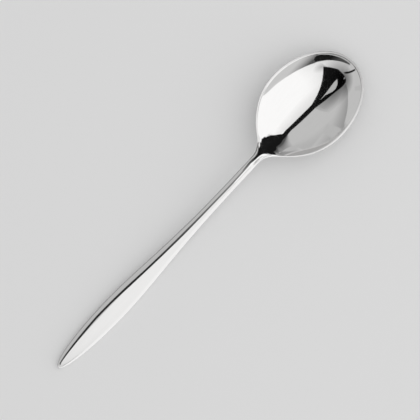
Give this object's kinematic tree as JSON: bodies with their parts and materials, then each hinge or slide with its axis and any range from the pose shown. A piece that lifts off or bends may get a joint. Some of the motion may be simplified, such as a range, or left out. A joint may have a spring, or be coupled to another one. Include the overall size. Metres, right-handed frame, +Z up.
{
  "type": "dessert spoon",
  "caption": "Mirror-polished steel dessert spoon with an egg-shaped bowl, a slim round neck and a leaf-shaped hollow handle cemented onto the forged bowl's tang.",
  "frame": {"origin": "on the table under the middle of the spoon's length, with the spoon lying on its back", "axes": "+X along the spoon towards the tip of the bowl, +Y across it, +Z up out of the bowl"},
  "size_m": [0.185, 0.0398, 0.0121],
  "materials": {
    "polished_steel": "mirror polished stainless steel",
    "handle_cement": "cast matt filler cement"
  },
  "bodies": {
    "root": {"bowl_and_shank": "polished_steel", "handle_front_shell": "polished_steel", "handle_back_shell": "polished_steel", "handle_filler": "handle_cement"}
  },
  "joints": []
}
